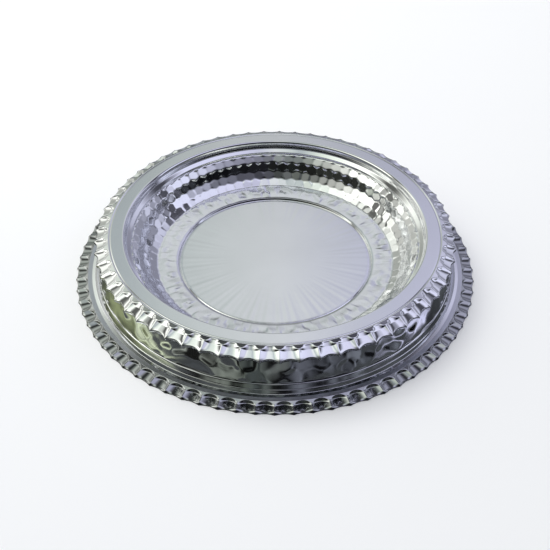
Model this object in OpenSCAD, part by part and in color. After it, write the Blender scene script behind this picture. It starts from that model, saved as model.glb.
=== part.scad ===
/* [Dish] */
// Radius of the flat rim of the dish, where its border begins
dish_rim_r = 110; // [100:0.5:125]
// Width of the flat rim
dish_rim_w = 10.6; // [9:0.1:13]
// Width of the stepped moulding between the flat rim and the hammered wall
dish_step_w = 4; // [3:0.1:6]
// Width of the hammered wall, seen from above
dish_wall_w = 15.4; // [12:0.1:20]
// Width of the floor between the wall and the sunk centre
dish_floor_w = 14.5; // [8:0.1:24]
// Depth of the sunk centre below the floor round it
dish_centre_drop = 0.9; // [0.5:0.1:1.5]
// Height of the flat rim above the table
dish_rim_z = 33.4; // [32:0.1:40]
// Drop from the flat rim to the ledge over the wall
dish_step_drop = 7.6; // [5:0.1:9]
// Depth from the flat rim to the floor
dish_depth = 26.4; // [20:0.1:27]
// Thickness of the dish sheet
dish_sheet = 1.2; // [0.8:0.1:1.8]

/* [Stand] */
// Distance from the edge of the flat rim of the dish in to the shoulder of the stand
stand_inset = 2; // [1:0.1:4]
// Spread of the stand from its shoulder to the edge of its foot flange
stand_spread = 18.4; // [14:0.1:26]
// Width of the flat part of the foot flange
stand_flat_w = 2.8; // [2:0.1:5]
// Height of the foot flange above the table
stand_flange_z = 3.5; // [3.2:0.1:5]
// Radius of the cove that joins the flange to the wall
stand_cove_r = 4.6; // [3:0.1:6]
// Thickness of the stand sheet
stand_sheet = 1.4; // [1:0.1:1.8]

/* [Borders] */
// Number of flutes round the dish
dish_flutes = 63; // [48:1:72]
// Number of flutes round the stand
stand_flutes = 74; // [56:1:84]
// Width of the border of the dish
dish_border_w = 9.6; // [8:0.1:11]
// Fall of the border of the dish from its inner edge to its tips
dish_border_fall = 3.8; // [2:0.1:5]
// Thickness of the border of the dish at its inner edge
dish_border_t = 3.6; // [3:0.1:4.2]
// Width of the border of the stand
stand_border_w = 8.2; // [7:0.1:10]
// Thickness of both borders at their tips
border_tip_t = 1.8; // [1.5:0.1:2.2]
// Depth of the scallops in the edge of the border of the dish
dish_scallop = 1.8; // [1.2:0.1:2.2]
// Depth of the scallops in the edge of the border of the stand
stand_scallop = 1.3; // [0.9:0.1:1.8]
// Radius of the scoop of one flute
flute_r = 10.6; // [10:0.1:12]
// Depth of a flute below the top of its border
flute_depth = 1.4; // [1:0.1:1.5]
// Extra slope of a flute, so that it deepens to its tip
flute_tilt = 2.4; // [0:0.1:4]
// Plain margin inside the arched end of a flute
flute_margin = 0.7; // [0.3:0.1:1.5]

/* [Fit] */
// Gap between the step of the dish and the edge of the seat
seat_gap = 1.8; // [0.6:0.1:2.4]

/* [Hidden] */
$fn = 64;
ring_fn = 360;
silver = [0.80, 0.81, 0.83];
dark_silver = [0.62, 0.63, 0.66];
arc_steps = 7;
floor_rise = 1.1;
wall_belly = 2.2;
bead_r = 1.1;
ridge_land = 0.8;
dish_step_r = dish_rim_r - dish_rim_w;
dish_well_r = dish_step_r - dish_step_w;
dish_foot_r = dish_well_r - dish_wall_w;
dish_centre_r = dish_foot_r - dish_floor_w;
dish_floor_z = dish_rim_z - dish_depth;
dish_ledge_z = dish_rim_z - dish_step_drop;
seat_z = dish_rim_z - dish_sheet;
seat_in_r = dish_step_r + dish_sheet + seat_gap;
stand_top_r = dish_rim_r - stand_inset;
stand_rim_r = stand_top_r + stand_spread;

// Sheet profiles
function unit(v) = v / norm(v);
function left(v) = [-v[1], v[0]];
function flip(list) = [for (i = [len(list) - 1 : -1 : 0]) list[i]];
function arc(c, r, a0, a1) =
    [for (i = [0 : arc_steps]) let (a = a0 + (a1 - a0) * i / arc_steps) c + r * [cos(a), sin(a)]];
function ease(p, q, sag) =
    [for (i = [0 : arc_steps])
        let (u = i / arc_steps) p + (q - p) * u + sag * sin(180 * u) * unit(left(q - p))];
function inset(path, t) = [
    for (i = [0 : len(path) - 1])
        let (
            last = len(path) - 1,
            a = left(unit(path[max(i, 1)] - path[max(i, 1) - 1])),
            b = left(unit(path[min(i, last - 1) + 1] - path[min(i, last - 1)])),
            n = unit(a + b)
        )
        path[i] + n * t / (n * b)
];
module sheet(path, t) {
    rotate_extrude($fn = ring_fn) polygon(concat(path, flip(inset(path, t))));
}

// One flute cutter: a capsule that lies along a sloping border, kept within its own pitch
module flute(r_in, z_in, w, fall, pitch) {
    slope = atan2(fall, w) + flute_tilt;
    half_chord = sqrt(flute_r * flute_r - pow(flute_r - flute_depth, 2));
    start = flute_margin + half_chord;
    lift = flute_r - flute_depth;
    translate([r_in + start, 0, z_in - start * fall / w])
        rotate([0, 90 + slope, 0])
            intersection() {
                translate([-lift, 0, 0]) union() {
                    sphere(flute_r);
                    cylinder(h = 2 * w, r = flute_r);
                }
                translate([-lift - flute_r, -pitch / 2, -flute_r])
                    cube([2 * flute_r, pitch, 2 * w + flute_r]);
            }
}

// One scallop cutter: an upright cylinder that bites into the edge between two ridges
module scallop(tip_r, depth, count) {
    half_chord = tip_r * sin(180 / count) - ridge_land / 2;
    r = (half_chord * half_chord + depth * depth) / (2 * depth);
    translate([tip_r - depth + r, 0, -r]) cylinder(h = 2 * r + dish_rim_z, r = r);
}

// A ring cut by a row of flutes, with a scalloped edge
module fluted_ring(profile, count, r_in, z_in, w, fall, bite) {
    pitch = 2 * r_in * sin(180 / count);
    difference() {
        rotate_extrude($fn = ring_fn) polygon(profile);
        for (i = [0 : count - 1])
            rotate([0, 0, i * 360 / count]) {
                flute(r_in, z_in, w, fall, pitch);
                scallop(r_in + w, bite, count);
            }
    }
}

// The dish: sunk centre, hammered wall, ledge, step and flat rim raised from one sheet
module dish_pan() {
    foot = [dish_foot_r, dish_floor_z + floor_rise];
    well = [dish_well_r, dish_ledge_z - bead_r];
    ledge = [dish_well_r + bead_r, dish_ledge_z];
    path = concat(
        [[0, dish_floor_z - dish_centre_drop]],
        [[dish_centre_r - dish_centre_drop, dish_floor_z - dish_centre_drop]],
        [[dish_centre_r, dish_floor_z]],
        ease(foot, well, -wall_belly),
        [ledge],
        [[dish_step_r - 2 * bead_r, dish_ledge_z + bead_r]],
        arc([dish_step_r - bead_r, dish_rim_z - bead_r] + [bead_r, 0], bead_r, 180, 90),
        [[dish_rim_r, dish_rim_z]]
    );
    color(silver) sheet(path, -dish_sheet);
}

module dish_border() {
    tip_r = dish_rim_r + dish_border_w;
    tip_z = dish_rim_z - dish_border_fall;
    profile = [
        [dish_rim_r, dish_rim_z],
        [dish_rim_r, dish_rim_z - dish_border_t],
        [tip_r, tip_z - border_tip_t],
        [tip_r, tip_z]
    ];
    color(silver)
        fluted_ring(profile, dish_flutes, dish_rim_r, dish_rim_z, dish_border_w, dish_border_fall, dish_scallop);
}

// The stand: foot flange, cove, hammered wall and a seat for the flat rim of the dish
module stand_wall() {
    flat_r = stand_rim_r - stand_flat_w;
    cove_c = [flat_r, stand_flange_z + stand_cove_r];
    shoulder = 2 * stand_sheet;
    path = concat(
        [[stand_rim_r, stand_flange_z]],
        arc(cove_c, stand_cove_r, 270, 200),
        [[stand_top_r, seat_z - shoulder]],
        arc([stand_top_r - shoulder, seat_z - shoulder], shoulder, 20, 90),
        [[seat_in_r, seat_z]]
    );
    color(dark_silver) sheet(path, stand_sheet);
}

module stand_border() {
    tip_r = stand_rim_r + stand_border_w;
    fall = stand_flange_z - border_tip_t;
    profile = [
        [stand_rim_r, 0],
        [tip_r, 0],
        [tip_r, border_tip_t],
        [stand_rim_r, stand_flange_z]
    ];
    color(silver)
        fluted_ring(profile, stand_flutes, stand_rim_r, stand_flange_z, stand_border_w, fall, stand_scallop);
}

dish_pan();
dish_border();
stand_wall();
stand_border();
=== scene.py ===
"""Plated serving dish in its hammered stand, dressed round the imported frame. Metres, +Z up."""
import math
from typing import NamedTuple

import bpy
import numpy as np
from mathutils import Matrix, Vector


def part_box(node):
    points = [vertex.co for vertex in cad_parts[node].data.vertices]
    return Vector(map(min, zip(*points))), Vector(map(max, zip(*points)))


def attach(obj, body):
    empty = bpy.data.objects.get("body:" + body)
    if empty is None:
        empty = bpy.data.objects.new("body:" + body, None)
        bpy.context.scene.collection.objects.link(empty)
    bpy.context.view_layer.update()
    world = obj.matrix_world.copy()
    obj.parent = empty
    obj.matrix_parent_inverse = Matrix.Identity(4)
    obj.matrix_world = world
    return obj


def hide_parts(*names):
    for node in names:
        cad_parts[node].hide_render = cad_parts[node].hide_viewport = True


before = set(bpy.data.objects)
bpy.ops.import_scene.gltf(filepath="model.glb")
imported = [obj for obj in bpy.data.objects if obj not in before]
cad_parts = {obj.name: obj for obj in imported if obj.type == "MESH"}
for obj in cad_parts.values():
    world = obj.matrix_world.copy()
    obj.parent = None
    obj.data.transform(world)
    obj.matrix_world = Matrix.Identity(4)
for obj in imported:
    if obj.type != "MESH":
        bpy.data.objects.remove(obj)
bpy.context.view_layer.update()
MM = 0.001
TURN = 2 * math.pi
TINY = 1e-9

# Sizes taken from the frame
PAN_LOW, PAN_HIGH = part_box("dish_pan")
DISH_BORDER_LOW, DISH_BORDER_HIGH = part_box("dish_border")
_, WALL_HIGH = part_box("stand_wall")
FOOT_LOW, FOOT_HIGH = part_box("stand_border")
DISH_RIM_R = PAN_HIGH.x
DISH_RIM_Z = PAN_HIGH.z
DISH_TIP_R = max(DISH_BORDER_HIGH.x, DISH_BORDER_HIGH.y)
STAND_RIM_R = WALL_HIGH.x
STAND_TIP_R = max(FOOT_HIGH.x, FOOT_HIGH.y)
SEAT_Z = WALL_HIGH.z
FLANGE_Z = FOOT_HIGH.z

# Sizes of the dish
DISH_SHEET = 1.2 * MM
DISH_STEP_R = 99.4 * MM
DISH_WELL_R = 95.4 * MM
DISH_FOOT_R = 80.0 * MM
DISH_CENTRE_R = 65.5 * MM
CENTRE_Z = PAN_LOW.z + DISH_SHEET
FLOOR_Z = CENTRE_Z + 0.9 * MM
FOOT_Z = FLOOR_Z + 1.1 * MM
LEDGE_Z = DISH_RIM_Z - 7.6 * MM
WELL_Z = LEDGE_Z - 1.1 * MM
CENTRE_BEND = 0.25 * MM
# Slope of the hammered wall in degrees at shares of the way up
WALL_SLOPES = ((0, 25), (0.25, 40), (0.5, 57), (0.70, 61), (0.84, 43), (1, 30))

# Sizes of the stand
STAND_SHEET = 1.4 * MM
STAND_FLAT_R = STAND_RIM_R - 2.8 * MM
STAND_TOP_R = 108.0 * MM
SEAT_R = 102.4 * MM
SHOULDER_Z = SEAT_Z - 1.2 * MM
SHOULDER_W = 2 * MM
FLAT_BEND = 0.3 * MM
SHOULDER_BEND = 2.0 * MM
SEAT_BEND = 0.8 * MM

# Mouldings: corners as (radius, height, bend) in millimetres from the place that each belongs to
CENTRE_GROOVE = ((-1.5, 0, 0.15), (-1.0, -0.55, 0.1), (-0.5, 0, 0.15))
LEDGE_BAND = ((0.3, 0.5, 0.3), (3.0, 2.2, 0.4))
STEP_LINES = ((-0.8, -3.3, 0.15), (-0.4, -2.9, 0.15), (-0.6, -2.4, 0.3), (-0.1, -0.7, 0.5), (0.7, 0, 0.6))
RIM_GROOVE = ((-1.5, 0, 0.3), (-1.0, -0.35, 0.2), (-0.5, 0, 0.2))
# Heel, ring and base line of the stand: each corner is counted from the one before it
FOOT_LINES = (
    (-2.1, 0.4, 0.2), (-1.05, 2.3, 0.15), (-0.25, 0.14, 0.15), (-1.45, 3.0, 0.2), (-0.35, 0.19, 0.2))

# Fineness of the meshes
FLOOR_STEP = 1.6 * MM
LINE_STEP = 0.6 * MM
DISH_LEAST_STEP = 0.1 * MM
STAND_LEAST_STEP = 0.05 * MM
CORNER_EDGE = 0.12 * MM
SHEET_EDGE = 0.08 * MM
BEND_POINTS = 5
WALL_POINTS = 45
DISH_COLUMNS = 12
STAND_COLUMNS = 16
FLUTE_COLUMNS = 20
# A bend takes up to these shares of the stretch behind it and the stretch ahead
BEND_BEHIND = 0.95
BEND_AHEAD = 0.48


# Hammer marks
class Marks(NamedTuple):
    """A band of hammer marks in staggered rows."""
    rows: int
    count: int  # marks in one row
    tilt: float  # spread of the tilt of single facets, in radians
    flat: float  # how far a facet is flattened, 1 being quite flat
    crisp: float  # sharpness of the edges between facets
    seed: int


WELL_MARKS = Marks(rows=4, count=79, tilt=math.radians(1.3), flat=1.0, crisp=15, seed=7)
FLOOR_MARKS = Marks(rows=2, count=79, tilt=math.radians(2.0), flat=0.3, crisp=15, seed=9)
STAND_MARKS = Marks(rows=3, count=64, tilt=math.radians(1.5), flat=0.35, crisp=7, seed=11)
# Unevenness of the marks' places as shares of a mark, and the weight of distance across the rows
SHIFT_ROUND = 0.09
SHIFT_ACROSS = 0.08
ACROSS_WEIGHT = 0.85
LEAST_WEIGHT = 1e-12
# Stretches over which the hammer work comes in and goes out, and where it keeps clear of an edge
WELL_IN, WELL_OUT, WELL_OVERLAP = 2 * MM, 0.5 * MM, 1 * MM
FLOOR_CLEAR, FLOOR_FADE = 1 * MM, 3 * MM
STAND_IN, STAND_OUT = 0.8 * MM, 3 * MM
SATIN_OVERLAP = 1.5 * MM
# Rays in the sunk centre: counts as shares of the marks, shares of the radius where they begin and are full
RAY_HEIGHT = 0.05 * MM
RAY_SHARES = (1 / 3, 1 / 2, 0.8, 1)
RAY_SEED = 5
RAY_START, RAY_FULL = 0.35, 0.95
RAY_CLEAR, RAY_OUT = 1 * MM, 2 * MM


# Flutes of the borders
class Flute(NamedTuple):
    """One flute. Reach is measured out from the inner edge of the border, and drop down from it."""
    count: int  # flutes round the border
    arch: float  # length of the arched inner end
    ramp: float  # reach over which the scoop gets its full depth
    neck: float  # width at the inner edge as a share of the pitch
    neck_end: float  # reach at which the flute is as wide as the pitch
    power: float  # fullness of the scoop from side to side
    recess: float  # depth of the scallop in the outer edge
    shoulder: float  # width of the inner part of the plain border
    shoulder_slope: float  # drop of that part for its reach
    near_drop: float  # the floor of the flute follows the higher of two lines, near and far,
    near_slope: float  # each with a drop at the inner edge and a slope
    far_drop: float
    far_slope: float


DISH_FLUTE = Flute(
    count=63, arch=0.9 * MM, ramp=0.5 * MM, neck=0.46, neck_end=3.2 * MM, power=3.0, recess=2.1 * MM,
    shoulder=3.0 * MM, shoulder_slope=0.158, near_drop=0.08 * MM, near_slope=0.60,
    far_drop=0.75 * MM, far_slope=0.38)
STAND_FLUTE = Flute(
    count=74, arch=4.2 * MM, ramp=0.7 * MM, neck=1.0, neck_end=1.0 * MM, power=2.1, recess=1.1 * MM,
    shoulder=2.0 * MM, shoulder_slope=0.30, near_drop=1.9 * MM, near_slope=0.12,
    far_drop=1.9 * MM, far_slope=0.12)
BORDER_TIP = 1.8 * MM
DISH_BORDER_T = 3.6 * MM
FLUTE_MARGIN = 0.2 * MM
LEAST_SCOOP = 0.06 * MM
LEAST_METAL = 0.35 * MM
# Shares of a border's width where the scallops begin and where the ridges begin to fall to the edge
SCALLOP_START = 0.3
RIDGE_FALL = 0.85
# Rows of a border as shares of its width, closest at the arches and the edge. Underneath, each fourth row
BORDER_ROWS = np.concatenate([
    [0, 0.012], np.linspace(0.03, 0.45, 16), np.linspace(0.5, 0.9, 9), [0.94, 0.97, 0.99, 1.0]])
UNDER_ROWS = slice(None, None, -4)

# Finish of the plate: noise scales, shares of the noise where the tint is dull and bright, and relief
CLOUD_SCALE, CLOUD_DETAIL = 26, 5
CLOUD_DULL, CLOUD_BRIGHT = 0.30, 0.72
DULL_SHARE = 0.94
WIPE_DETAIL, WIPE_ROUGHNESS = 8, 0.65
WIPE_DEPTH = 0.4 * MM
SILVER = (0.86, 0.87, 0.89)
FOOT_SILVER = (0.82, 0.83, 0.86)
FOOT_GREY = (0.68, 0.69, 0.75)
# Painted shade: a darker tint for the plate of the stand's fluted border, standing in for the dim
# reflections it shows
FOOT_SHADED_TINT = (0.44, 0.45, 0.46)

# Camera fitted to the rings of the photograph
CAMERA_DISTANCE = 679.7 * MM
CAMERA_ELEVATION = math.radians(41.07)
CAMERA_PITCH = math.radians(41.69)
CAMERA_ROLL = math.radians(0.21)
CAMERA_FOCAL_PX = 992.4
FRAME_PX = 550
SENSOR_MM = 36.0

# Floor: its own colour, and the painted reflection colours that only the metal mirrors from it, by distance
# behind the dish
FLOOR_R = 2.5
FLOOR_SIDES = 128
FLOOR_ROUGHNESS = 0.9
PAPER = (0.92, 0.92, 0.92, 1)
FLOOR_PAINTED_REFLECTION = ((0.15, (0.045, 0.05, 0.052)), (0.40, (0.28, 0.30, 0.31)))
# Painted reflection: blotches that darken and lighten the floor only where the metal mirrors it
REFLECTION_MOTTLE_SCALE, REFLECTION_MOTTLE_DETAIL = 22, 4
REFLECTION_MOTTLE = ((0.36, (0.3, 0.3, 0.3)), (0.64, (1.6, 1.6, 1.6)))
# Painted reflections: coloured patches of the floor that only the metal mirrors, which the stand shows as
# tinted reflections: centre, reach and colour
PAINTED_REFLECTION_PATCHES = (
    ((-0.18, -0.06, 0), 0.08, (0.24, 0.27, 0.13, 1)),
    ((-0.25, -0.14, 0), 0.11, (0.66, 0.72, 0.48, 1)),
    ((0.19, -0.07, 0), 0.045, (0.62, 0.62, 0.80, 1)),
    ((0.25, -0.13, 0), 0.06, (0.62, 0.62, 0.80, 1)),
    ((0.33, -0.21, 0), 0.08, (0.50, 0.50, 0.64, 1)))
REFLECTION_PATCH_CORE = 0.4

# Brightness of the room from the viewer's horizon (0 degrees) over the top to the far horizon (180)
ROOM = (
    (0, 0.14), (9, 0.10), (20, 0.018), (32, 0.010), (38, 0.02), (50, 0.16), (62, 0.34), (70, 0.56),
    (76, 0.80), (83, 0.92), (88, 1.0), (100, 1.0), (106, 0.45), (112, 0.08), (119, 0.09), (126, 0.40),
    (133, 0.80), (139, 0.76), (143, 0.68), (147, 0.62), (151, 0.36), (164, 0.32), (170, 0.45), (175, 0.75),
    (180, 0.80))
# Tint of the room from the far left (0) to the far right (1)
ROOM_TINT = (
    (0.14, (1.8, 1.82, 1.68)), (0.36, (0.89, 0.97, 0.87)), (0.42, (0.55, 0.61, 0.64)),
    (0.446, (0.76, 0.83, 0.81)), (0.5, (0.95, 0.98, 1.0)), (0.554, (0.72, 0.74, 0.90)),
    (0.60, (0.78, 0.78, 1.0)), (0.86, (0.86, 0.88, 1.10)))
# Clutter low down behind the viewer: its blotches, and the heights and depths over which it comes in
CLUTTER_SCALE, CLUTTER_DETAIL = 5, 3
CLUTTER = ((0.42, (0.05, 0.05, 0.05)), (0.60, (1.6, 1.7, 1.6)))
CLUTTER_HEIGHTS = (0.5, 0.2)
CLUTTER_DEPTHS = (0.1, -0.1)
BACKDROP = (0.93, 0.93, 0.93, 1)
FILL_PLACE = (-0.7, 0.9, 1.9)
FILL_SIZE = 1.6
FILL_WATTS = 37


# Profiles
def corners_at(radius, height, offsets):
    """Corners of a profile from (radius, height, bend) offsets in millimetres."""
    return [(radius + dr * MM, height + dz * MM, bend * MM) for dr, dz, bend in offsets]


def corners_on(radius, height, offsets):
    """Corners of a profile from offsets in millimetres that each start at the corner before."""
    corners = []
    for dr, dz, bend in offsets:
        radius += dr * MM
        height += dz * MM
        corners.append((radius, height, bend * MM))
    return corners


def bent(corners, step):
    """A path of (r, z) points through the corners, each rounded by its own bend."""
    path = [np.array(corners[0][:2])]
    for i in range(1, len(corners)):
        here = np.array(corners[i][:2])
        bend = corners[i][2] if len(corners[i]) > 2 else 0
        behind = here - path[-1]
        reach = np.linalg.norm(behind)
        arm = min(bend, reach * BEND_BEHIND)
        start = here - behind / reach * arm
        count = max(1, int(round(np.linalg.norm(start - path[-1]) / step)))
        path += [path[-1] + (start - path[-1]) * k / count for k in range(1, count + 1)]
        if arm > 0 and i < len(corners) - 1:
            ahead = np.array(corners[i + 1][:2]) - here
            reach = np.linalg.norm(ahead)
            stop = here + ahead / reach * min(arm, reach * BEND_AHEAD)
            for k in range(1, BEND_POINTS + 1):
                u = k / BEND_POINTS
                path.append((1 - u) ** 2 * start + 2 * u * (1 - u) * here + u * u * stop)
    return np.array(path)


def climbing(start, stop, slopes):
    """A path from start to stop whose slope in degrees runs through the given (place, slope) pairs."""
    along = np.linspace(0, 1, WALL_POINTS)
    slope = np.radians(np.interp(along, *zip(*slopes)))
    steps = np.stack([np.cos(slope), np.sin(slope)], 1)
    run = np.concatenate([[(0, 0)], np.cumsum((steps[1:] + steps[:-1]) / 2, axis=0)])
    chord = np.array(stop) - np.array(start)
    turn = complex(*chord) / complex(*run[-1])
    moved = (run[:, 0] + 1j * run[:, 1]) * turn
    return np.stack([moved.real + start[0], moved.imag + start[1]], 1)


def thinned(path, least):
    """The path without points closer together than least."""
    kept = [path[0]]
    for point in path[1:]:
        if np.linalg.norm(point - kept[-1]) >= least:
            kept.append(point)
    kept[-1] = path[-1]
    return np.array(kept)


def edged(path, near):
    """The path with a point close to each end, which keeps the end edges crisp."""
    head = path[0] + (path[1] - path[0]) / np.linalg.norm(path[1] - path[0]) * near
    tail = path[-1] + (path[-2] - path[-1]) / np.linalg.norm(path[-2] - path[-1]) * near
    return np.concatenate([path[:1], [head], path[1:-1], [tail], path[-1:]])


def normals(path):
    """Unit normals on the left of the path."""
    along = np.gradient(path, axis=0)
    along /= np.linalg.norm(along, axis=1)[:, None]
    return np.stack([-along[:, 1], along[:, 0]], 1)


def lengths(path):
    """Distance along the path at each point."""
    return np.concatenate([[0], np.cumsum(np.linalg.norm(np.diff(path, axis=0), axis=1))])


def at_point(path, point):
    """Distance along the path at the place nearest a point."""
    return lengths(path)[np.linalg.norm(path - np.array(point), axis=1).argmin()]


def smooth(edge0, edge1, x):
    """A soft step from 0 at one edge to 1 at the other."""
    t = np.clip((x - edge0) / (edge1 - edge0), 0, 1)
    return t * t * (3 - 2 * t)


def band(s, start, full, fading, stop):
    """A column of weights along a path: none outside start and stop, full between full and fading."""
    return (smooth(start, full, s) * (1 - smooth(fading, stop, s)))[:, None]


def turns(columns):
    """Angles of evenly spaced columns round a piece."""
    return np.arange(columns) * TURN / columns


# Hammer work
def hammered(path, theta, s0, s1, marks):
    """Lift that turns the band from s0 to s1 into staggered, nearly flat hammer facets."""
    rng = np.random.default_rng(marks.seed)
    s, n = lengths(path), normals(path)
    row_height = (s1 - s0) / marks.rows
    u = theta[None, :] * marks.count / TURN
    v = ((s - s0) / row_height)[:, None]
    lift = np.zeros((len(path), len(theta)))
    weight = np.zeros_like(lift)
    shape = (marks.rows + 2, marks.count)
    shift_u = rng.uniform(-SHIFT_ROUND, SHIFT_ROUND, shape)
    shift_v = rng.uniform(-SHIFT_ACROSS, SHIFT_ACROSS, shape)
    tilt_u = rng.normal(0, marks.tilt, shape)
    tilt_v = rng.normal(0, marks.tilt, shape)
    for row in range(-1, marks.rows + 1):
        middle = int(np.abs(v[:, 0] - row - 0.5).argmin())
        bow = ((path - path[middle]) @ n[middle])[:, None]
        pitch = TURN * path[middle, 0] / marks.count
        hoop = n[middle, 0] / path[middle, 0]
        stagger = 0.5 * (row % 2)
        nearest = np.round(u - stagger).astype(int)
        for step in (-1, 0, 1):
            c = (nearest + step) % marks.count
            du = u - stagger - nearest - step - shift_u[row, c]
            dv = v - row - 0.5 - shift_v[row, c]
            share = np.exp(-marks.crisp * (du * du + ACROSS_WEIGHT * dv * dv))
            facet = -marks.flat * (bow - hoop * (du * pitch) ** 2 / 2)
            facet = facet + tilt_u[row, c] * du * pitch + tilt_v[row, c] * dv * row_height
            lift += share * facet
            weight += share
    return lift / np.maximum(weight, LEAST_WEIGHT)


def rays(theta, count, seed):
    """Fine radial strokes left by the planishing hammer, about 1 high."""
    rng = np.random.default_rng(seed)
    total = np.zeros_like(theta)
    for share in RAY_SHARES:
        total += rng.uniform(0.5, 1.0) * np.cos(int(share * count) * theta + rng.uniform(0, TURN))
    return total / 3


# Meshes
def ring_mesh(name, grid, closed, materials, row_material):
    """A mesh of revolution from a grid of points (rows, columns, 3), with fans where a row is a pole."""
    rows, columns, _ = grid.shape
    verts, starts, total = [], [], 0
    for row in grid:
        pole = np.hypot(row[:, 0], row[:, 1]).max() < TINY
        verts.append(row[:1] if pole else row)
        starts.append(total)
        total += len(verts[-1])
    faces, face_rows = [], []
    around = np.arange(columns)
    ahead = (around + 1) % columns
    for i in range(rows if closed else rows - 1):
        k = (i + 1) % rows
        low, high = starts[i], starts[k]
        if len(verts[i]) == 1:
            ring = np.stack([np.full(columns, low), high + ahead, high + around], 1)
        elif len(verts[k]) == 1:
            ring = np.stack([low + around, low + ahead, np.full(columns, high)], 1)
        else:
            ring = np.stack([low + around, low + ahead, high + ahead, high + around], 1)
        faces += ring.tolist()
        face_rows += [row_material[i]] * columns
    mesh = bpy.data.meshes.new(name)
    mesh.from_pydata(np.concatenate(verts).tolist(), [], faces)
    for material in materials:
        mesh.materials.append(material)
    mesh.polygons.foreach_set("material_index", face_rows)
    mesh.shade_smooth()
    mesh.update()
    piece = bpy.data.objects.new(name, mesh)
    bpy.context.scene.collection.objects.link(piece)
    return piece


def spun(path, theta, lift):
    """Points of a path spun round +Z, pushed along the path's normals by lift (rows, columns)."""
    n = normals(path)
    r = path[:, 0, None] + n[:, 0, None] * lift
    z = path[:, 1, None] + n[:, 1, None] * lift
    r = np.where(path[:, 0, None] < TINY, 0, np.maximum(r, 0))
    return np.stack([r * np.cos(theta), r * np.sin(theta), z + 0 * theta], 2)


def sheet_piece(name, path, theta, lift, thickness, materials, second):
    """A closed sheet: the shown side, and the other side a sheet's thickness behind it.

    The rows that second marks have the second material.
    """
    front = spun(path, theta, lift)
    back = spun(path, theta, lift - thickness)[::-1]
    has_pole = path[0, 0] < TINY
    row_material = np.concatenate([second, second[::-1]]).astype(int).tolist()
    return ring_mesh(name, np.concatenate([front, back]), not has_pole, materials, row_material)


# Shader nodes
def feed(tree, socket, value):
    """Links a socket to another socket, or sets it to a plain value."""
    if isinstance(value, bpy.types.NodeSocket):
        tree.links.new(value, socket)
    else:
        socket.default_value = value


def maths(tree, operation, first, second):
    """The result of one operation on two values."""
    node = tree.nodes.new("ShaderNodeMath")
    node.operation = operation
    feed(tree, node.inputs[0], first)
    feed(tree, node.inputs[1], second)
    return node.outputs["Value"]


def noise(tree, place, scale, detail, roughness=0.5):
    """Cloudy values over a place."""
    node = tree.nodes.new("ShaderNodeTexNoise")
    node.inputs["Scale"].default_value = scale
    node.inputs["Detail"].default_value = detail
    node.inputs["Roughness"].default_value = roughness
    tree.links.new(place, node.inputs["Vector"])
    return node.outputs["Fac"]


def mapped(tree, value, source, target=(0, 1), interpolation="LINEAR"):
    """A value carried from one range to another."""
    node = tree.nodes.new("ShaderNodeMapRange")
    node.interpolation_type = interpolation
    feed(tree, node.inputs["Value"], value)
    for end, socket in enumerate(("Min", "Max")):
        feed(tree, node.inputs["From " + socket], source[end])
        feed(tree, node.inputs["To " + socket], target[end])
    return node.outputs["Result"]


def ramp(tree, value, stops):
    """A colour ramp through (place, colour) stops."""
    node = tree.nodes.new("ShaderNodeValToRGB")
    elements = node.color_ramp.elements
    for element, (position, colour) in zip((elements[0], elements[1]), (stops[0], stops[-1])):
        element.position = position
        element.color = (*colour, 1)
    for position, colour in stops[1:-1]:
        elements.new(position).color = (*colour, 1)
    tree.links.new(value, node.inputs["Fac"])
    return node.outputs["Color"]


def mixed(tree, factor, under, over, blend="MIX"):
    """One colour laid over another."""
    node = tree.nodes.new("ShaderNodeMix")
    node.data_type = "RGBA"
    node.blend_type = blend
    feed(tree, node.inputs["Factor"], factor)
    feed(tree, node.inputs["A"], under)
    feed(tree, node.inputs["B"], over)
    return node.outputs["Result"]


def seen_by(tree, kind, seen, other):
    """A colour that is one thing to one kind of ray and another to the rest."""
    ray = tree.nodes.new("ShaderNodeLightPath")
    return mixed(tree, ray.outputs[kind], other, seen)


def split(tree, place):
    """The X, Y and Z of a place."""
    node = tree.nodes.new("ShaderNodeSeparateXYZ")
    tree.links.new(place, node.inputs["Vector"])
    return node.outputs["X"], node.outputs["Y"], node.outputs["Z"]


# Materials
def plated(name, tint, polish, grain, bump):
    """Polished plate: cloudy tint, uneven polish and fine wipe marks."""
    material = bpy.data.materials.new(name)
    material.use_nodes = True
    tree = material.node_tree
    shader = tree.nodes["Principled BSDF"]
    shader.inputs["Metallic"].default_value = 1.0
    place = tree.nodes.new("ShaderNodeTexCoord").outputs["Object"]
    dull = tuple(DULL_SHARE * c for c in tint)
    cloud = noise(tree, place, CLOUD_SCALE, CLOUD_DETAIL)
    colour = ramp(tree, cloud, ((CLOUD_DULL, dull), (CLOUD_BRIGHT, tint)))
    tree.links.new(colour, shader.inputs["Base Color"])
    wipe = noise(tree, place, grain, WIPE_DETAIL, WIPE_ROUGHNESS)
    tree.links.new(mapped(tree, wipe, (0, 1), polish), shader.inputs["Roughness"])
    relief = tree.nodes.new("ShaderNodeBump")
    relief.inputs["Strength"].default_value = bump
    relief.inputs["Distance"].default_value = WIPE_DEPTH
    tree.links.new(wipe, relief.inputs["Height"])
    tree.links.new(relief.outputs["Normal"], shader.inputs["Normal"])
    return material


BRIGHT = plated("bright_plate", SILVER, polish=(0.04, 0.10), grain=140, bump=0.03)
SATIN = plated("satin_plate", SILVER, polish=(0.09, 0.16), grain=220, bump=0.04)
FOOT_BRIGHT = plated("foot_plate", FOOT_SILVER, polish=(0.05, 0.09), grain=140, bump=0.004)
FOOT_SATIN = plated("foot_satin", FOOT_GREY, polish=(0.26, 0.34), grain=140, bump=0.004)
# The stand's fluted border: a darker copy of the foot plate, painted shade
FOOT_MOUNT_SHADED = plated("foot_mount_shaded", FOOT_SHADED_TINT, polish=(0.05, 0.10), grain=140, bump=0.004)


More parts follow.
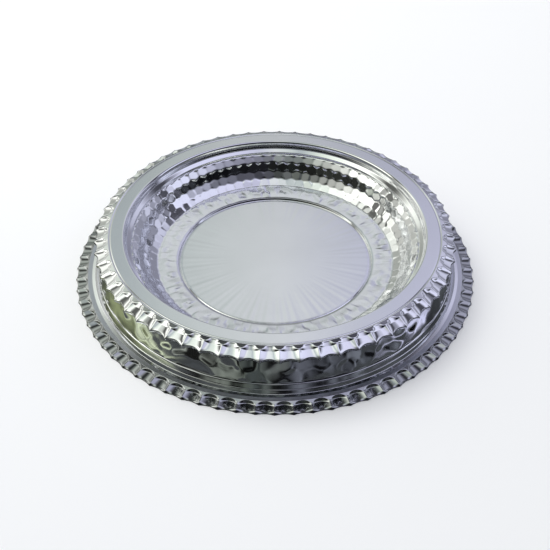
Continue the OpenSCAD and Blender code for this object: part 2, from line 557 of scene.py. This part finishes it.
# The dish
def dish_path(foot, well, step_lines):
    """Profile of the dish from its middle out to the edge of the flat rim."""
    floor = bent([
        (0, CENTRE_Z), *corners_at(DISH_CENTRE_R, CENTRE_Z, CENTRE_GROOVE),
        (DISH_CENTRE_R, FLOOR_Z, CENTRE_BEND), foot], FLOOR_STEP)
    wall = climbing(foot, well, WALL_SLOPES)
    rim = bent([
        well, *corners_at(DISH_WELL_R, LEDGE_Z, LEDGE_BAND), *step_lines,
        *corners_at(DISH_RIM_R, DISH_RIM_Z, RIM_GROOVE), (DISH_RIM_R, DISH_RIM_Z)], LINE_STEP)
    path = np.concatenate([edged(floor, CORNER_EDGE), edged(wall, CORNER_EDGE)[1:], rim[1:]])
    return edged(thinned(path, DISH_LEAST_STEP), SHEET_EDGE)


def dish_pan():
    """Sunk centre with faint rays, stroked floor, hammered wall, mouldings and flat rim."""
    theta = turns(WELL_MARKS.count * DISH_COLUMNS)
    foot = (DISH_FOOT_R, FOOT_Z)
    well = (DISH_WELL_R, WELL_Z)
    step_lines = corners_at(DISH_STEP_R, DISH_RIM_Z, STEP_LINES)
    path = dish_path(foot, well, step_lines)
    s = lengths(path)
    s_ring = at_point(path, (DISH_CENTRE_R, FLOOR_Z))
    s_foot = at_point(path, foot)
    s_well = at_point(path, well)
    s_flat = at_point(path, step_lines[-1][:2])
    in_wall = band(s, s_foot - WELL_IN, s_foot, s_well - WELL_OUT, s_well)
    lift = in_wall * hammered(path, theta, s_foot - WELL_OVERLAP, s_well, WELL_MARKS)
    floor_start = s_ring + FLOOR_CLEAR
    in_floor = band(s, floor_start, floor_start + FLOOR_FADE, s_foot - FLOOR_FADE, s_foot)
    lift = lift + in_floor * hammered(path, theta, s_ring, s_foot, FLOOR_MARKS)
    ray_end = s_ring - RAY_CLEAR
    in_centre = band(s, RAY_START * s_ring, RAY_FULL * s_ring, ray_end - RAY_OUT, ray_end)
    lift = lift + RAY_HEIGHT * in_centre * rays(theta, WELL_MARKS.count, RAY_SEED)[None, :]
    satin = (s < s_foot + SATIN_OVERLAP) | (s > s_flat)
    piece = sheet_piece("dish_pan_sheet", path, theta, lift, DISH_SHEET, [BRIGHT, SATIN], satin)
    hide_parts("dish_pan")
    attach(piece, "dish")


# The fluted borders
def fluted_border(name, node, body, rim, tip, under, flute, material):
    """A sloping border with scooped flutes: arched inner ends, thin ridges and a scalloped edge."""
    rim_r, rim_z = rim
    tip_r, tip_z = tip
    columns = flute.count * FLUTE_COLUMNS
    theta = turns(columns)
    phase = ((theta * flute.count / TURN + 0.5) % 1 - 0.5)[None, :]
    width = tip_r - rim_r
    s = BORDER_ROWS[:, None] * width
    scallop = flute.recess * (1 - (2 * phase) ** 2) * smooth(SCALLOP_START * width, width, s)
    reach = s - scallop
    outer_slope = (rim_z - tip_z - flute.shoulder_slope * flute.shoulder) / (width - flute.shoulder)
    plain = flute.shoulder_slope * np.minimum(reach, flute.shoulder)
    plain = plain + outer_slope * np.maximum(reach - flute.shoulder, 0)
    near = flute.near_drop + flute.near_slope * reach
    far = flute.far_drop + flute.far_slope * reach
    depth = np.maximum(np.minimum(near, far) - plain, LEAST_SCOOP)
    narrowing = np.sqrt(np.clip(1 - (s / flute.neck_end) ** 2, 0, 1))
    half = 0.5 * (1 - (1 - flute.neck) * narrowing)
    off = np.minimum(np.abs(phase) / half, 1)
    start = FLUTE_MARGIN + flute.arch * (1 - np.sqrt(1 - off ** 2))
    scoop = depth * (1 - off ** flute.power) * np.clip((s - start) / flute.ramp, 0, 1)
    nose = np.maximum(s - RIDGE_FALL * width, 0) / ((1 - RIDGE_FALL) * width)
    scoop = scoop + (depth - scoop) * nose ** 2
    under_z = under + (tip_z - BORDER_TIP - under) * s / width
    top_z = np.maximum(rim_z - plain - scoop, under_z + LEAST_METAL)
    top_r = rim_r + reach
    low_z = np.repeat(under_z[UNDER_ROWS], columns, 1)
    grid_r = np.concatenate([top_r, top_r[UNDER_ROWS]])
    grid_z = np.concatenate([top_z, low_z])
    grid = np.stack([grid_r * np.cos(theta), grid_r * np.sin(theta), grid_z], 2)
    piece = ring_mesh(name, grid, True, [material], [0] * len(grid))
    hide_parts(node)
    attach(piece, body)


# The stand
def stand_wall():
    """Foot flange, heel, ring, base line, hammered leaning wall, shoulder and seat."""
    theta = turns(STAND_MARKS.count * STAND_COLUMNS)
    foot_lines = corners_on(STAND_FLAT_R, FLANGE_Z, FOOT_LINES)
    shoulder = (STAND_TOP_R, SHOULDER_Z)
    path = bent([
        (STAND_RIM_R, FLANGE_Z), (STAND_FLAT_R, FLANGE_Z, FLAT_BEND), *foot_lines,
        (*shoulder, SHOULDER_BEND), (STAND_TOP_R - SHOULDER_W, SEAT_Z, SEAT_BEND),
        (SEAT_R, SEAT_Z)], LINE_STEP)
    path = edged(thinned(path, STAND_LEAST_STEP), SHEET_EDGE)
    s = lengths(path)
    s_line = at_point(path, foot_lines[-1][:2])
    s_top = at_point(path, shoulder)
    in_wall = band(s, s_line, s_line + STAND_IN, s_top - STAND_OUT, s_top)
    lift = in_wall * hammered(path, theta, s_line, s_top, STAND_MARKS)
    satin = s < STAND_RIM_R - STAND_FLAT_R
    materials = [FOOT_BRIGHT, FOOT_SATIN]
    piece = sheet_piece("stand_wall_sheet", path, theta, lift, -STAND_SHEET, materials, satin)
    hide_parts("stand_wall")
    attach(piece, "stand")


dish_pan()
fluted_border("dish_border_flutes", "dish_border", "dish", (DISH_RIM_R, DISH_RIM_Z),
              (DISH_TIP_R, DISH_BORDER_LOW.z + BORDER_TIP), DISH_RIM_Z - DISH_BORDER_T, DISH_FLUTE, BRIGHT)
stand_wall()
fluted_border("stand_border_flutes", "stand_border", "stand", (STAND_RIM_R, FLANGE_Z),
              (STAND_TIP_R, FOOT_LOW.z + BORDER_TIP), FOOT_LOW.z, STAND_FLUTE, FOOT_MOUNT_SHADED)


# Floor, light and camera
def painted_reflection_patch(tree, place, centre, reach, colour, other):
    """A soft round patch of painted reflection colour on top of another colour."""
    apart = tree.nodes.new("ShaderNodeVectorMath")
    apart.operation = "DISTANCE"
    feed(tree, apart.inputs[0], place)
    feed(tree, apart.inputs[1], centre)
    near = mapped(tree, apart.outputs["Value"], (reach, REFLECTION_PATCH_CORE * reach), interpolation="SMOOTHSTEP")
    return mixed(tree, near, other, colour)


def paper_with_painted_reflection():
    """Pale paper that the metal mirrors as a darker, patchy table: a painted reflection that only mirror
    rays see.
    """
    material = bpy.data.materials.new("paper_with_painted_reflection")
    material.use_nodes = True
    tree = material.node_tree
    shader = tree.nodes["Principled BSDF"]
    place = tree.nodes.new("ShaderNodeTexCoord").outputs["Object"]
    _, depth, _ = split(tree, place)
    painted_reflection = ramp(tree, depth, FLOOR_PAINTED_REFLECTION)
    for centre, reach, colour in PAINTED_REFLECTION_PATCHES:
        painted_reflection = painted_reflection_patch(tree, place, centre, reach, colour, painted_reflection)
    reflection_mottle = ramp(tree, noise(tree, place, REFLECTION_MOTTLE_SCALE, REFLECTION_MOTTLE_DETAIL), REFLECTION_MOTTLE)
    painted_reflection = mixed(tree, 1, painted_reflection, reflection_mottle, "MULTIPLY")
    # Painted reflection: mirror rays see the darker patchy colours, every other ray sees the pale paper
    paper = seen_by(tree, "Is Glossy Ray", painted_reflection, PAPER)
    tree.links.new(paper, shader.inputs["Base Color"])
    shader.inputs["Roughness"].default_value = FLOOR_ROUGHNESS
    return material


def add_floor():
    """A plain round floor."""
    mesh = bpy.data.meshes.new("floor")
    edge = [(FLOOR_R * math.cos(a), FLOOR_R * math.sin(a), 0) for a in turns(FLOOR_SIDES)]
    mesh.from_pydata(edge, [], [range(FLOOR_SIDES)])
    mesh.materials.append(paper_with_painted_reflection())
    ground = bpy.data.objects.new("floor", mesh)
    bpy.context.scene.collection.objects.link(ground)


def add_room():
    """A soft room: dim behind the viewer, white overhead, bands of dark and light behind the dish."""
    world = bpy.data.worlds.new("room")
    bpy.context.scene.world = world
    world.use_nodes = True
    tree = world.node_tree
    place = tree.nodes.new("ShaderNodeTexCoord").outputs["Generated"]
    across, depth, height = split(tree, place)
    over = maths(tree, "ARCTAN2", height, maths(tree, "MULTIPLY", depth, -1))
    level = [(angle / 180, (grey, grey, grey)) for angle, grey in ROOM]
    level = ramp(tree, maths(tree, "DIVIDE", over, math.pi), level)
    tint = ramp(tree, mapped(tree, across, (-1, 1)), ROOM_TINT)
    room = mixed(tree, 1, level, tint, "MULTIPLY")
    clutter = ramp(tree, noise(tree, place, CLUTTER_SCALE, CLUTTER_DETAIL), CLUTTER)
    low = mapped(tree, height, CLUTTER_HEIGHTS)
    near = mapped(tree, depth, CLUTTER_DEPTHS, (0, low))
    room = mixed(tree, near, room, clutter, "MULTIPLY")
    backdrop = seen_by(tree, "Is Camera Ray", BACKDROP, room)
    tree.links.new(backdrop, tree.nodes["Background"].inputs["Color"])


def add_fill_light():
    """A soft box that looks at the dish and isn't seen in the metal."""
    light = bpy.data.lights.new("fill", "AREA")
    light.shape = "RECTANGLE"
    light.size = FILL_SIZE
    light.size_y = FILL_SIZE
    light.energy = FILL_WATTS
    lamp = bpy.data.objects.new("fill", light)
    lamp.visible_camera = False
    lamp.visible_glossy = False
    lamp.location = FILL_PLACE
    lamp.rotation_euler = (-Vector(FILL_PLACE)).to_track_quat("-Z", "Y").to_euler()
    bpy.context.scene.collection.objects.link(lamp)


def add_camera():
    """The photograph's view."""
    data = bpy.data.cameras.new("photo_view")
    data.sensor_width = SENSOR_MM
    data.lens = CAMERA_FOCAL_PX / FRAME_PX * SENSOR_MM
    view = bpy.data.objects.new("photo_view", data)
    across, up = math.cos(CAMERA_ELEVATION), math.sin(CAMERA_ELEVATION)
    place = Matrix.Translation((0, -CAMERA_DISTANCE * across, CAMERA_DISTANCE * up))
    turn = Matrix.Rotation(math.pi / 2 - CAMERA_PITCH, 4, "X") @ Matrix.Rotation(CAMERA_ROLL, 4, "Z")
    view.matrix_world = place @ turn
    bpy.context.scene.collection.objects.link(view)
    bpy.context.scene.camera = view


add_floor()
add_room()
add_fill_light()
add_camera()
bpy.context.scene.view_settings.view_transform = "Standard"
